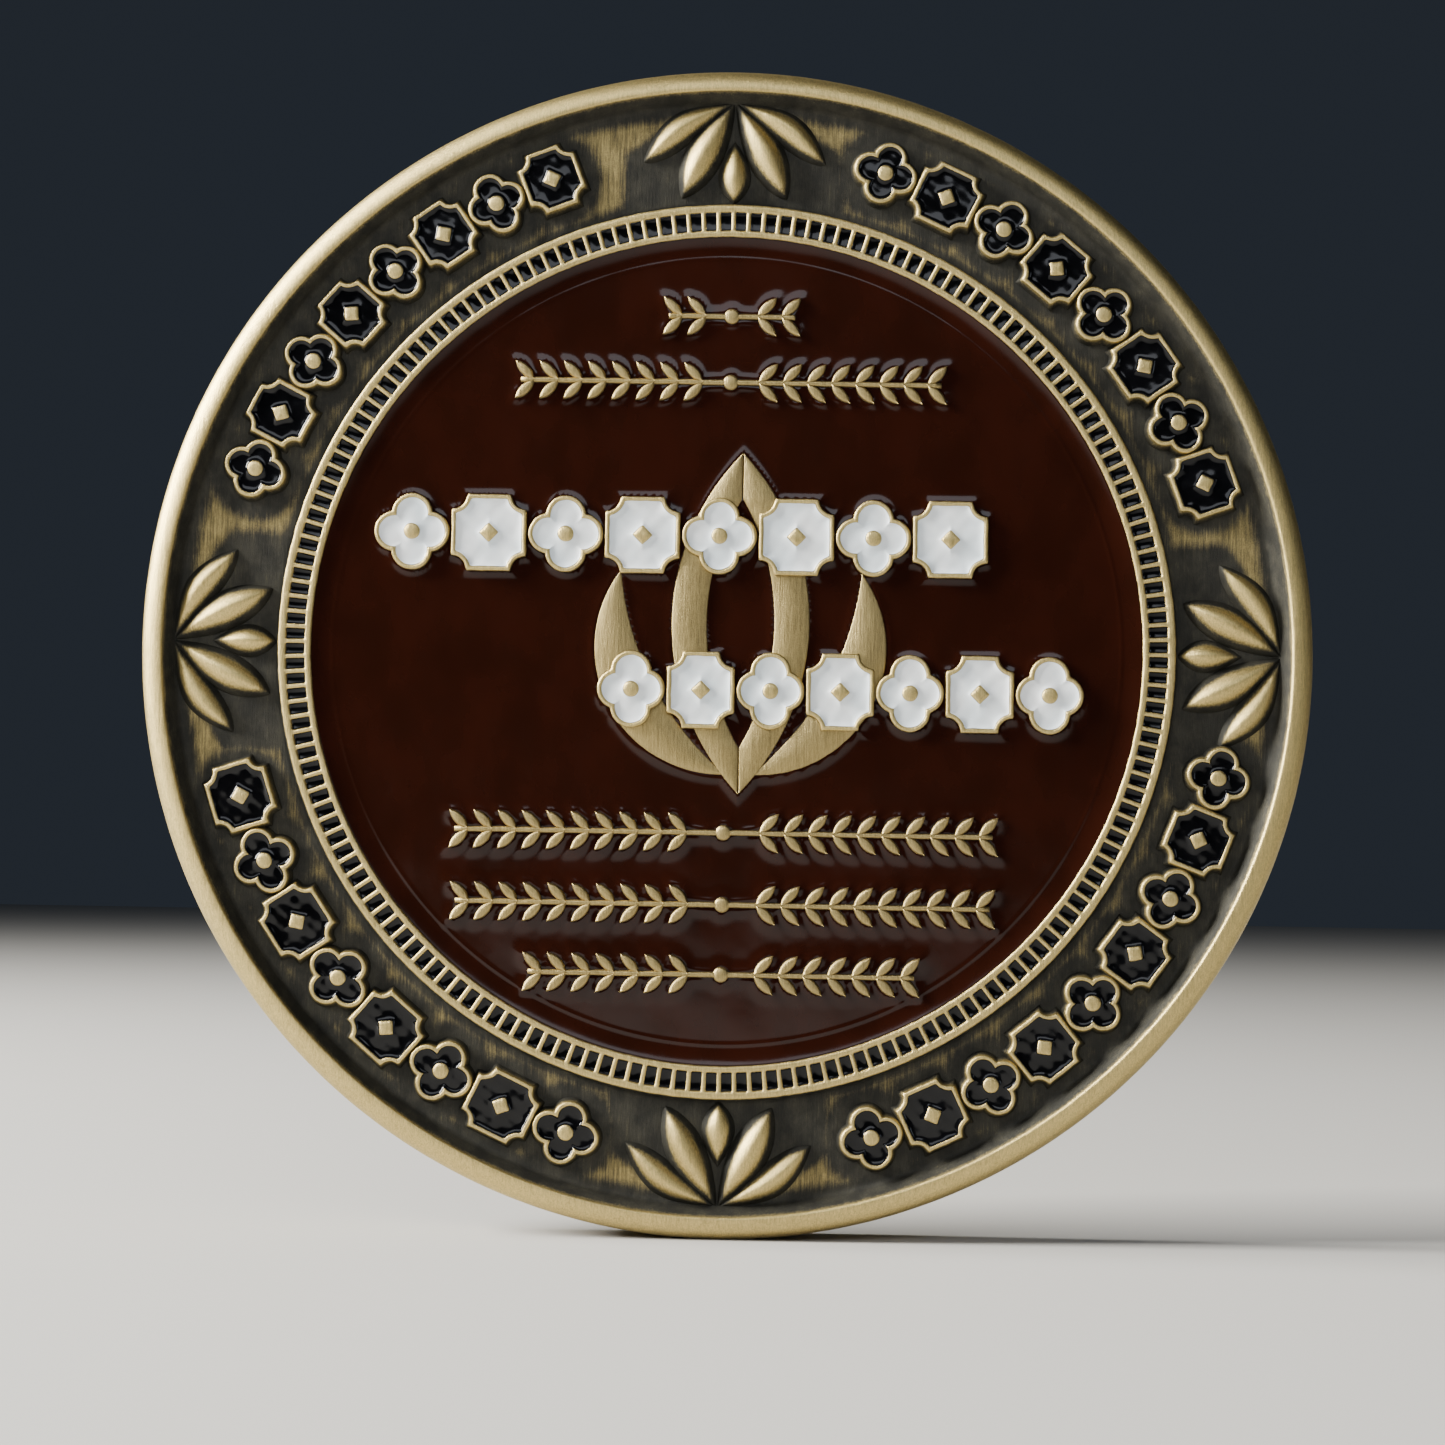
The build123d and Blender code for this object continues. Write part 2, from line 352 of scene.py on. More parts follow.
tile_cells = []
for row_number in range(1, 3):
    cells = find_cells(f"row_{row_number}_enamel_")
    step = (cells[-1][0] - cells[0][0]) / (len(cells) - 1)
    for x, y, kind, name in cells:
        tile_cells.append((x, y, 0.0, kind, step - cell_gap, name))


def garland_leaves(length):
    """(x, angle) of the foot of each leaf on the stem of a garland that is centred on x = 0."""
    pairs = int((length / 2 - bare_stem) / leaf_pitch)
    first = length / 2 - leaf_length - (pairs - 1) * leaf_pitch
    leaves = []
    for pair in range(pairs):
        foot = first + pair * leaf_pitch
        for side in (-1, 1):
            leaves.append((foot, side * leaf_angle))
            leaves.append((-foot, side * leaf_angle + math.pi))
    return leaves


def relief_distance(x, y):
    """Distance from the raised metal of the front panel, negative inside it."""
    nearest = np.full(x.shape, 9.0)
    for cx, cy, _, kind, width, _ in tile_cells:
        u, v = np.abs(x - cx), np.abs(y - cy)
        if kind == 0:
            lobe = tile_height * lobe_share
            beside = np.hypot(u - width / 2 + lobe, v) - lobe
            above = np.hypot(u, v - tile_height / 2 + lobe) - lobe
            nearest = np.minimum(nearest, np.minimum(beside, above))
        else:
            sides = np.maximum(u - width / 2, v - tile_height / 2)
            scoop = tile_height * scoop_share - np.hypot(u - width / 2, v - tile_height / 2)
            nearest = np.minimum(nearest, np.maximum(sides, scoop))
    for length, height in garlands:
        beside = np.abs(x) - length / 2 + leaf_length / 2
        gap = np.maximum(beside, np.abs(y - height) - stem_width / 2)
        nearest = np.minimum(nearest, gap)
        nearest = np.minimum(nearest, np.hypot(x, y - height) - garland_bead_radius)
        for foot, turn in garland_leaves(length):
            u = (x - foot) * math.cos(turn) + (y - height) * math.sin(turn)
            v = -(x - foot) * math.sin(turn) + (y - height) * math.cos(turn)
            gap = oval_distance(u - leaf_length / 2, v, leaf_length, leaf_width)
            nearest = np.minimum(nearest, gap)
    u, v = x - emblem_centre[0], y - emblem_centre[1]
    bud = oval_distance(v, u, bud_height, bud_width)
    opening = oval_distance(v, u, opening_height, opening_width)
    nearest = np.minimum(nearest, np.maximum(bud, -opening))
    (ox, oy), outer = circle_through(crescent_foot, crescent_outer, crescent_tip)
    (ix, iy), inner = circle_through(crescent_foot, crescent_inner, crescent_tip)
    across = np.abs(u)
    moon = np.maximum(np.hypot(across - ox, v - oy) - outer, inner - np.hypot(across - ix, v - iy))
    return np.minimum(nearest, moon)


# ---- Materials --------------------------------------------------------------------------------

class Shade:
    """A socket in a material's node tree, with arithmetic and one way to add any node."""

    def __init__(self, tree, socket=None):
        self.tree = tree
        self.socket = socket

    def node(self, kind, output=0, inputs=None, **settings):
        """Add a node with these settings and inputs, and give back one of its outputs."""
        made = self.tree.nodes.new(kind)
        for key, value in settings.items():
            setattr(made, key, value)
        for key, value in (inputs or {}).items():
            if isinstance(value, Shade):
                self.tree.links.new(value.socket, made.inputs[key])
            else:
                made.inputs[key].default_value = value
        return Shade(self.tree, made.outputs[output])

    def math(self, operation, first, second=0.0):
        """A Math node."""
        return self.node("ShaderNodeMath", inputs={0: first, 1: second}, operation=operation)

    def __add__(self, other):
        return self.math("ADD", self, other)

    def __sub__(self, other):
        return self.math("SUBTRACT", self, other)

    def __mul__(self, other):
        return self.math("MULTIPLY", self, other)

    def __rsub__(self, other):
        return self.math("SUBTRACT", other, self)

    __radd__ = __add__
    __rmul__ = __mul__

    def clamp(self, low_end, high_end, to_low=0.0, to_high=1.0):
        """Smooth step between two values, mapped to a new range."""
        values = {0: self, 1: low_end, 2: high_end, 3: to_low, 4: to_high}
        return self.node("ShaderNodeMapRange", inputs=values, interpolation_type="SMOOTHSTEP")

    def blend(self, first, second):
        """Mix of two colours by this value."""
        inputs = {0: self, 6: first, 7: second}
        return self.node("ShaderNodeMix", output=2, inputs=inputs, data_type="RGBA")

    def noise(self, scale, detail=2.0, roughness=0.5):
        """Noise in object space: scale is (x, y, z) in features per millimetre."""
        place = self.node("ShaderNodeTexCoord", output="Object")
        per_metre = tuple(value / MM for value in scale)
        place = self.node("ShaderNodeMapping", inputs={0: place, 3: per_metre})
        inputs = {"Vector": place, "Scale": 1.0, "Detail": detail, "Roughness": roughness}
        return self.node("ShaderNodeTexNoise", inputs=inputs)

    def bump(self, depth):
        """Bump normal from this height, for waves of the given depth in millimetres."""
        inputs = {"Height": self, "Distance": depth * MM, "Strength": 1.0}
        return self.node("ShaderNodeBump", inputs=inputs)


def colour(red, green, blue):
    """sRGB 0 to 255 to linear RGBA."""
    linear = [value / 255 for value in (red, green, blue)]
    linear = [v / 12.92 if v <= 0.04045 else ((v + 0.055) / 1.055) ** 2.4 for v in linear]
    return (*linear, 1.0)


def new_material(name):
    """Material, its Principled shader and a start for node building."""
    material = bpy.data.materials.new(name)
    material.use_nodes = True
    tree = material.node_tree
    return material, tree.nodes["Principled BSDF"].inputs, Shade(tree)


def connect(inputs, **values):
    """Set or link inputs of the Principled shader; underscores stand for spaces."""
    for key, value in values.items():
        target = inputs[key.replace("_", " ")]
        if isinstance(value, Shade):
            value.tree.links.new(value.socket, target)
        else:
            target.default_value = value


def antique_brass(name, bright, brush=0.5):
    """Brass that is rubbed bright where it stands proud and dark with patina in the hollows."""
    material, inputs, shade = new_material(name)
    polish = shade.node("ShaderNodeAttribute", output="Fac", attribute_name="polish")
    streaks = shade.noise((13.0, 13.0, 0.7), detail=3.0, roughness=0.65)
    fine = shade.noise((38.0, 38.0, 3.0), detail=2.0, roughness=0.6)
    mottle = shade.noise((1.3, 1.3, 0.9), detail=4.0, roughness=0.6)
    grain = shade.noise((22.0, 22.0, 22.0), detail=3.0, roughness=0.7)
    worn = polish + (streaks - 0.5) * brush + (mottle - 0.5) * 0.35 + (grain - 0.5) * 0.25
    worn = worn.clamp(0.08, 0.85)
    dark = mottle.clamp(0.35, 0.65).blend(colour(38, 37, 31), colour(56, 54, 45))
    base = worn.blend(dark, bright)
    tone = (fine * 0.35 + streaks * 0.3 + grain * 0.35).clamp(0.36, 0.64, 0.68, 1.2)
    base = shade.node("ShaderNodeVectorMath", inputs={0: base, 3: tone}, operation="SCALE")
    rough = worn.clamp(0.0, 1.0, 0.62, 0.4) + (streaks - 0.5) * 0.15
    metal = worn.clamp(0.0, 0.6, 0.55, 1.0)
    height = streaks * 0.4 + fine * 0.25 + grain * 0.35
    connect(inputs, Base_Color=base, Roughness=rough, Metallic=metal, Normal=height.bump(0.035))
    return material


def enamel(name, shadow, light, rough, ripple, gloss=0.3):
    """Poured enamel: a deep colour under a glossy skin with a slow ripple and a few specks."""
    material, inputs, shade = new_material(name)
    cloud = shade.noise((0.5, 0.5, 0.35), detail=3.0)
    specks = shade.noise((7.0, 7.0, 7.0), detail=2.0)
    base = cloud.clamp(0.3, 0.7).blend(shadow, light)
    smear = shade.noise((0.9, 0.9, 0.4), detail=4.0, roughness=0.65)
    skin = smear.clamp(0.35, 0.75, rough * 0.7, rough * 1.5)
    wave = shade.noise((0.55, 0.55, 0.55), detail=2.0)
    height = wave + specks * 0.03
    connect(inputs, Base_Color=base, Roughness=skin, Normal=height.bump(ripple))
    connect(inputs, Specular_IOR_Level=gloss * 0.5, Coat_Weight=gloss, Coat_Roughness=0.12)
    return material


brass = antique_brass("antique_brass", colour(206, 184, 122))
# Darker copy of the same brass for the flat-topped emblem and garlands: the heavier brushing is their
# real finish, but the darker base colour is painted shade for flat tops that face the camera.
flat_brass_painted_shade = antique_brass("brushed_brass_painted_shade", colour(172, 152, 102), brush=0.9)
maroon = enamel("maroon_enamel", colour(33, 12, 5), colour(40, 15, 7), 0.1, 0.012)
black = enamel("black_enamel", colour(4, 4, 5), colour(9, 9, 11), 0.12, 0.01)
white = enamel("white_enamel", colour(228, 238, 242), colour(248, 251, 251), 0.2, 0.02)


# ---- Coin blank: rim, shoulders, edge and band ------------------------------------------------

def polar_grid(rows, columns):
    """Grid of points from rows of (radius, height), revolved round the coin's axis."""
    turn = angles(columns)
    radius = np.array([row[0] for row in rows])[:, None]
    height = np.array([row[1] for row in rows])[:, None] + 0 * turn
    return np.stack([radius * np.cos(turn), radius * np.sin(turn), height], -1)


def band_open(x, y):
    """How open the band is at a point: 0 beside any relief, 1 well away from all of it.

    The room is the smallest distance to the band's edges, to a circle round each cell, and to
    a fan round each lotus that widens from its root and then keeps its width.
    """
    radius = np.hypot(x, y)
    room = np.minimum(radius - ladder_outer, band_outer - radius) * 1.3
    for cx, cy, *_ in frieze_cells:
        room = np.minimum(room, np.hypot(x - cx, y - cy) - cell_clear)
    for quarter in range(4):
        turn = quarter * math.pi / 2
        along = lotus_root - (x * math.sin(turn) + y * math.cos(turn))
        aside = np.abs(x * math.cos(turn) - y * math.sin(turn))
        fan = aside - np.minimum(along * 1.5 + 0.6, lotus_spread)
        room = np.minimum(room, np.maximum(fan, along - lotus_clear))
    return ease(room, 0.15, 1.0)


def face_profile():
    """Rows (radius, height, polish) from the middle of a face out to the coin's edge.

    The last part is a quarter of an ellipse, from the crown of the rim down to the edge.
    """
    rows = [(0.0, panel_floor - 0.1, 0.1), (blank_hollow, panel_floor - 0.1, 0.1)]
    rows += [(ladder_outer - 0.13, band_floor - 0.15, 0.1)]
    band = np.linspace(ladder_outer + 0.02, band_outer - 0.25, 20)
    rows += [(radius, band_floor, 0.1) for radius in band]
    rows += [(band_outer - 0.12, band_floor + 0.01, 0.0), (band_outer, band_floor + 0.05, 0.0)]
    for share, polish in ((0.2, 0.0), (0.45, 0.02), (0.7, 0.08), (0.88, 0.35)):
        radius = band_outer + rim_slope_width * share
        rows.append((radius, band_floor + 0.04 + (crest - band_floor - 0.06) * share, polish))
    rows += [(crest_inner - 0.015, crest - 0.03, 0.9), (crest_inner + 0.03, crest - 0.006, 1.0)]
    crown = crest_inner + crown_inset
    for share in np.linspace(0, 1, 15):
        turn = share * math.pi / 2
        radius = crown + (coin_radius - crown) * math.sin(turn)
        height = crest - shoulder_depth * (1 - math.cos(turn))
        rows.append((radius, height, 1.0 - 0.25 * share))
    rows.append((coin_radius, crest - shoulder_depth - 0.08, 0.7))
    return rows


def make_blank():
    """Both faces' profiles joined at the edge and revolved, with a slow cast unevenness."""
    face = face_profile()
    edge = [(coin_radius, z, 0.6) for z in np.linspace(edge_flat, -edge_flat, 7)]
    back = [(radius, -height, polish) for radius, height, polish in reversed(face)]
    rows = face + edge + back
    grid = polar_grid(rows, 900)
    x, y, z = grid[..., 0], grid[..., 1], grid[..., 2]
    polish = np.array([row[2] for row in rows])[:, None] + 0 * x
    radius = np.hypot(x, y)
    floor = (np.abs(np.abs(z) - band_floor) < 0.02) & (radius < band_outer)
    is_front = z > 0
    openness = band_open(x, y)
    polish = np.where(floor & is_front, 0.02 + 0.4 * openness, polish)
    polish = np.where(floor & ~is_front, 0.04 + 0.3 * openness, polish)
    grid[..., 2] += np.where(floor, wobble(x, y, 0.012), 0)
    swell = np.where(radius > band_outer + 0.1, wobble(x * 0.8, y * 0.8, 0.006), 0)
    grid[..., 0] *= 1 - np.abs(swell) / coin_radius
    grid[..., 1] *= 1 - np.abs(swell) / coin_radius
    surface = Surface()
    surface.add(grid, polish, poles=True)
    return surface.build("coin_blank", brass, ["coin_body"])


# ---- Ladder ring ------------------------------------------------------------------------------

def ladder_shares():
    """Places across one window step, as (share of the step, share of bar height)."""
    edge = (1 - window_share) / 2
    left = [(0.0, 1.0), (edge - 0.05, 0.97), (edge - 0.015, 0.8), (edge + 0.03, 0.1)]
    right = [(1 - share, bar) for share, bar in reversed(left[1:])]
    return left + [(edge + 0.06, 0.0), (0.5, 0.0), (0.94 - edge, 0.0)] + right


def make_ladder(name, side, with_bars):
    """Two thin raised rings with a sunk channel between, crossed by bars on the front."""
    shares = ladder_shares() if with_bars else [(0.0, 0.0), (0.25, 0.0), (0.5, 0.0), (0.75, 0.0)]
    step = TURN / window_count
    turn = np.concatenate([step * (number + np.array([s for s, _ in shares]))
                           for number in range(window_count)])
    bar = np.tile(np.array([b for _, b in shares]), window_count)
    sunk = ladder_top - pocket_depth
    rows = [
        (ladder_outer + 0.14, band_floor - 0.1, 0), (ladder_outer + 0.1, band_floor + 0.02, 0),
        (ladder_outer + 0.03, band_floor + 0.25, 0), (ladder_outer, ladder_top - 0.06, 0),
        (ladder_outer - 0.05, ladder_top - 0.012, 0), (ladder_outer - 0.12, ladder_top, 0),
        (window_outer + 0.08, ladder_top, 0), (window_outer + 0.02, ladder_top - 0.02, 0.4),
        (window_outer - 0.02, ladder_top - 0.1, 0.9), (window_outer - 0.05, sunk, 1),
        (window_outer - 0.25, sunk, 1), (window_outer - 0.42, sunk, 1),
        (window_inner + 0.22, sunk, 1), (window_inner + 0.05, sunk, 1),
        (window_inner + 0.02, ladder_top - 0.1, 0.9), (window_inner - 0.02, ladder_top - 0.02, 0.4),
        (window_inner - 0.07, ladder_top, 0), (ladder_inner + 0.08, ladder_top - 0.005, 0),
        (ladder_inner + 0.03, ladder_top - 0.03, 0), (ladder_inner, ladder_top - 0.1, 0),
        (ladder_inner - 0.04, panel_fill - 0.1, 0), (ladder_inner - 0.05, panel_floor, 0),
        (ladder_middle, panel_floor - 0.1, 0),
    ]
    radius = np.array([row[0] for row in rows])[:, None]
    height = np.array([row[1] for row in rows])[:, None]
    share = np.array([row[2] for row in rows])[:, None] * bar
    top = ladder_top - 0.012
    level = height + (top - height) * share
    x, y = radius * np.cos(turn), radius * np.sin(turn)
    level = level + np.where(level > band_floor + 0.1, wobble(x * 2, y * 2, 0.008), 0)
    radius = radius + wobble(x * 2.5 + 3, y * 2.5, 0.012)
    grid = np.stack([radius * np.cos(turn), radius * np.sin(turn), level], -1)
    polish = ease(level, ladder_top - 0.3, ladder_top - 0.01) * 0.95
    surface = Surface()
    surface.add(grid, polish)
    return surface.build(name, brass, side=side)


def make_ladder_enamel(name, nodes, side, with_bars):
    """Black enamel in the channel, drawn up a little where it meets the metal."""
    count = window_count * (8 if with_bars else 3)
    turn = angles(count)
    across = np.linspace(0, 1, 8)[:, None]
    radius = window_inner - 0.03 + (window_outer - window_inner + 0.06) * across
    lip = 0.07 * np.exp(-np.minimum(across, 1 - across) * 7)
    if with_bars:
        place = turn / TURN * window_count % 1
        near = np.abs(np.abs(place - 0.5) - window_share / 2)
        lip = lip + 0.05 * np.exp(-near * 9)
    level = ladder_top - 0.16 + lip + 0 * turn
    top = np.stack([radius * np.cos(turn), radius * np.sin(turn), level], -1)
    under = top[::-1].copy()
    under[..., 2] = ladder_top - pocket_depth - 0.02
    surface = Surface()
    surface.add(np.concatenate([top, under[[0, -1]]]))
    return surface.build(name, black, nodes, side)


# ---- Lotus ornaments --------------------------------------------------------------------------

def petal_grid(start, end, width, bow, floor, rise):
    """One petal along x, with a ridge along its middle, for u along it and v across it.

    Half width W sin(pi u^1.25)^0.72, and height H w^0.8 (1 - |v|^1.75), with w the half width
    as a share of W.
    """
    u = (1 - np.cos(np.linspace(0, math.pi, 45))) / 2
    body = np.maximum(np.sin(math.pi * u ** 1.25), 0) ** 0.72
    v = np.linspace(-1, 1, 19)
    ridge = 1 - (np.sqrt(v * v + 0.003) ** 1.75)
    along = start + (end - start) * u[:, None] + 0 * v
    side = width / 2 * body[:, None] * v + bow * np.sin(math.pi * u)[:, None] ** 1.5
    height = floor + rise * (body[:, None] ** 0.8) * ridge
    polish = ease(ridge * (0.3 + 0.7 * body[:, None]), 0.33, 0.87) * 0.95
    under = np.stack([along[:, ::-9], side[:, ::-9], 0 * along[:, ::-9] + floor - 0.12], -1)
    top = np.stack([along, side, height], -1)
    grid = np.concatenate([top, under], 1)
    polish = np.concatenate([polish, 0 * under[..., 0]], 1)
    grid[0] = grid[0].mean(0)
    grid[-1] = grid[-1].mean(0)
    return grid, polish


def turned(grid, turn, shift):
    """Grid turned about z and then shifted."""
    moved = grid.copy()
    moved[..., 0] = grid[..., 0] * math.cos(turn) - grid[..., 1] * math.sin(turn) + shift[0]
    moved[..., 1] = grid[..., 0] * math.sin(turn) + grid[..., 1] * math.cos(turn) + shift[1]
    return moved


def make_band_lotus(name, side):
    """Four lotus ornaments on the band, rooted at the rim and pointing to the centre."""
    surface = Surface()
    for quarter in range(4):
        axis = math.pi / 2 - quarter * math.pi / 2
        root = (lotus_root * math.cos(axis), lotus_root * math.sin(axis))
        for lean, start, end, width, bow in petals:
            rise = broad_rise if width > broad_petal else slim_rise
            grid, polish = petal_grid(start, end, width, bow, band_floor - 0.03, rise)
            turn = axis + math.pi + math.radians(lean)
            surface.add(turned(grid, turn, root), polish, poles=True)
    return surface.build(name, brass, side=side)


def make_reverse_lotus():
    """One large flat lotus: each petal is the overlap of two circles, with rounded edges."""
    surface = Surface()
    scale = reverse_lotus_scale
    u = (1 - np.cos(np.linspace(0, math.pi, 61))) / 2
    for lean, start, end, *_ in petals:
        length = (end - start) * scale
        radius, off = oval_circles(length, reverse_petal_width)
        half = np.sqrt(radius ** 2 - ((u - 0.5) * length) ** 2) - off
        along = start * scale + u * length
        left = np.stack([along, half], -1)
        right = np.stack([along, -half], -1)
        top = ladder_top - overlap_step * (abs(lean) > outer_lean)
        grid, polish = ridge_grid(left, right, panel_fill - 0.2, top, reverse_petal_bevel)
        turn = math.pi / 2 + math.radians(lean)
        surface.add(turned(grid, turn, (0, reverse_lotus_root)), polish, poles=True)
    return surface.build("reverse_lotus", brass, side=reverse)


# ---- Outlined cells and their enamel ----------------------------------------------------------

def cell_grid(radius_at, stations, count, place):
    """Section (offset, height) carried round an outline; place is (x, y, turn)."""
    turn = angles(count)
    rows = []
    for offset, height in stations:
        radius = radius_at(turn, offset)
        x = place[0] + radius * np.cos(turn + place[2])
        y = place[1] + radius * np.sin(turn + place[2])
        shift = wobble(x * 2.2, y * 2.2, cell_wander)
        rows.append(np.stack([x + shift, y - shift, height + 0 * turn], -1))
    return np.stack(rows)


def make_cells(name, cells, height, floor, top, count, draft):
    """Raised outlines with drafted sides, rounded crests and a stone in the middle.

    Stations are (offset from the outline, height, polish), from the foot outside, over the
    crest and down inside.
    """
    stations = [
        (draft + 0.03, floor - 0.12, 0.0), (draft, floor + 0.01, 0.02),
        (draft * 0.45, floor + (top - floor) * 0.5, 0.2), (0.025, top - 0.08, 0.55),
        (0.0, top - 0.03, 0.85), (-0.035, top - 0.006, 1.0), (-0.085, top, 1.0),
        (-0.14, top - 0.008, 1.0), (-0.17, top - 0.04, 0.8), (-0.185, top - 0.12, 0.4),
        (-0.19, top - 0.3, 0.1), (-0.19, floor - 0.12, 0.0),
    ]
    stone_stations = [
        (0.03, floor - 0.1, 0.0), (0.02, top - 0.16, 0.3), (-0.005, top - 0.05, 0.8),
        (-0.04, top - 0.01, 1.0), (-0.1, top + 0.015, 1.0), (-0.2, top + 0.03, 1.0),
    ]
    surface = Surface()
    for x, y, turn, kind, width, _ in cells:
        def outline(angle, offset):
            return cell_radius(kind, angle, width, height, offset)

        def stone(angle, offset):
            return stone_radius(kind, angle, offset)

        place = (x, y, turn)
        grid = cell_grid(outline, [(o, h) for o, h, _ in stations], count, place)
        polish = np.array([p for _, _, p in stations])[:, None]
        surface.add(grid, polish)
        grid = cell_grid(stone, [(o, h) for o, h, _ in stone_stations], 32, place)
        middle = grid[-1:].mean(1, keepdims=True) + 0 * grid[-1:]
        under = grid[:1].mean(1, keepdims=True) + 0 * grid[:1]
        polish = [0.0] + [p for _, _, p in stone_stations] + [1.0]
        grid = np.concatenate([under, grid, middle])
        surface.add(grid, np.array(polish)[:, None], poles=True)
    return surface.build(name, brass)


def make_fills(name, cells, height, top, count, material, dome):
    """Enamel in each cell: domed between the outline and the stone, drawn up at both."""
    surface = Surface()
    share = (1 - np.cos(np.linspace(0, math.pi, 13)))[:, None] / 2
    for x, y, turn, kind, width, _ in cells:
        spread = angles(count)
        outer = cell_radius(kind, spread, width, height, -outline_width)
        inner = stone_radius(kind, spread, -0.01)
        radius = outer + (inner - outer) * share
        gap = np.minimum(share, 1 - share) * (outer - inner)
        level = top - 0.12 + 0.1 * np.exp(-gap / 0.12) + dome * ease(gap, 0.05, 0.4)
        px = x + radius * np.cos(spread + turn)
        py = y + radius * np.sin(spread + turn)
        shift = wobble(px * 2.2, py * 2.2, cell_wander)
        level = level + wobble(px * 1.6 + 5, py * 1.6, 0.02)
        upper = np.stack([px + shift, py - shift, level], -1)
        under = upper[[-1, 0]].copy()
        under[..., 2] = top - 0.3
        surface.add(np.concatenate([upper, under]))
    return surface.build(name, material, [cell[5] for cell in cells])


# ---- Relief of the front panel ----------------------------------------------------------------

def ridge_grid(left, right, floor, top, bevel):
    """Closed bar between two lines of points: flat top, rounded edges, sides down to a floor.

    Each row goes up one side, over the top and down the other. Each end closes in one point.
    """
    across = right - left
    width = np.maximum(np.linalg.norm(across, axis=-1, keepdims=True), 1e-6)
    unit = across / width
    columns = []
    lean = np.minimum(width / 2, bevel)
    profile = [(-0.03, floor, 0.0), (0.0, top - 2.2 * bevel, 0.3), (0.1, top - bevel, 0.7),
               (0.45, top - 0.35 * bevel, 0.9), (1.0, top, 0.85)]
    for inset, height, polish in profile:
        columns.append((left + unit * lean * inset, height, polish))
    for inset, height, polish in reversed(profile):
        columns.append((right - unit * lean * inset, height, polish))
    grid = np.stack([np.concatenate([point, np.full((len(point), 1), height)], -1)
                     for point, height, _ in columns], 1)
    polish = np.array([polish for *_, polish in columns])
    first = grid[:1].mean(1, keepdims=True) + 0 * grid[:1]
    last = grid[-1:].mean(1, keepdims=True) + 0 * grid[-1:]
    return np.concatenate([first, grid, last]), polish


def make_garlands():
    """Thin stems, pairs of leaves that point outwards, and a bead in the middle of each."""
    surface = Surface()
    floor, top = panel_fill - 0.2, ladder_top
    u = (1 - np.cos(np.linspace(0, math.pi, 15))) / 2
    radius, off = oval_circles(leaf_length, leaf_width)
    half = np.sqrt(radius ** 2 - ((u - 0.5) * leaf_length) ** 2) - off
    left = np.stack([u * leaf_length, half], -1)
    right = np.stack([u * leaf_length, -half], -1)
    leaf, polish = ridge_grid(left, right, floor, top, leaf_bevel)
    for length, height in garlands:
        reach = length / 2 - leaf_length / 2
        x = np.linspace(-reach, reach, 60)
        edge = stem_width / 2
        left = np.stack([x, height + edge + wobble(x, height + 0 * x, 0.012)], -1)
        right = np.stack([x, height - edge + wobble(x, height + 0 * x, 0.012)], -1)
        surface.add(*ridge_grid(left, right, floor, top - 0.02, stem_bevel), poles=True)
        for foot, turn in garland_leaves(length):
            surface.add(turned(leaf, turn, (foot, height)), polish, poles=True)
        wall = garland_bead_radius
        bead = [(0.0, floor), (wall, floor), (wall, top - 0.1), (wall - 0.03, top - 0.04),
                (wall - 0.1, top), (wall - 0.22, top + 0.02), (0.0, top + 0.025)]
        grid = polar_grid(bead, 32)
        grid[..., 1] += height
        surface.add(grid, 0.9, poles=True)
    return surface.build("panel_garlands", flat_brass_painted_shade)


def make_emblem():
    """Flat lotus bud: a pointed ring between two crescents, all with crisp rounded edges."""
    surface = Surface()
    floor, top = panel_fill - 0.2, emblem_top
    cx, cy = emblem_centre
    radius, off = oval_circles(bud_height, bud_width)
    hole_radius, hole_off = oval_circles(opening_height, opening_width)
    v = np.sin(np.linspace(-math.pi / 2, math.pi / 2, 121)) * bud_height / 2
    outer = np.sqrt(radius ** 2 - v ** 2) - off
    inner = np.sqrt(np.maximum(hole_radius ** 2 - v ** 2, hole_off ** 2)) - hole_off
    for side in (-1, 1):
        left = np.stack([cx + side * inner, cy + v], -1)
        right = np.stack([cx + side * outer, cy + v], -1)
        surface.add(*ridge_grid(left, right, floor, top, emblem_bevel), poles=True)
        outside = arc_points(crescent_foot, crescent_outer, crescent_tip, 90)
        inside = arc_points(crescent_foot, crescent_inner, crescent_tip, 90)
        place = np.array([side, 1.0])
        left = inside * place + np.array([cx, cy])
        right = outside * place + np.array([cx, cy])
        crescent = ridge_grid(left, right, floor, top - overlap_step, emblem_bevel)
        surface.add(*crescent, poles=True)
    return surface.build("panel_emblem", flat_brass_painted_shade)


# ---- Enamel panels ----------------------------------------------------------------------------

def panel_level(gap):
    """Height of poured enamel: climbs the wall as (1 - gap / reach) cubed, sinks under metal."""
    near = np.clip(gap, 0, meniscus_reach)
    climb = meniscus_height * (1 - near / meniscus_reach) ** 3
    sunk = hidden_dip * ease(-gap, 0.03, 0.12)
    return panel_fill - 0.02 + climb - sunk


def edge_climb(gap):
    """Rise of the enamel at the ladder's wall, (1 - gap / reach) squared, with a fine lip."""
    near = np.clip(gap, 0, edge_reach)
    lip = 0.012 * np.exp(-((gap - edge_reach) / 0.08) ** 2)
    return edge_height * (1 - near / edge_reach) ** 2 + lip


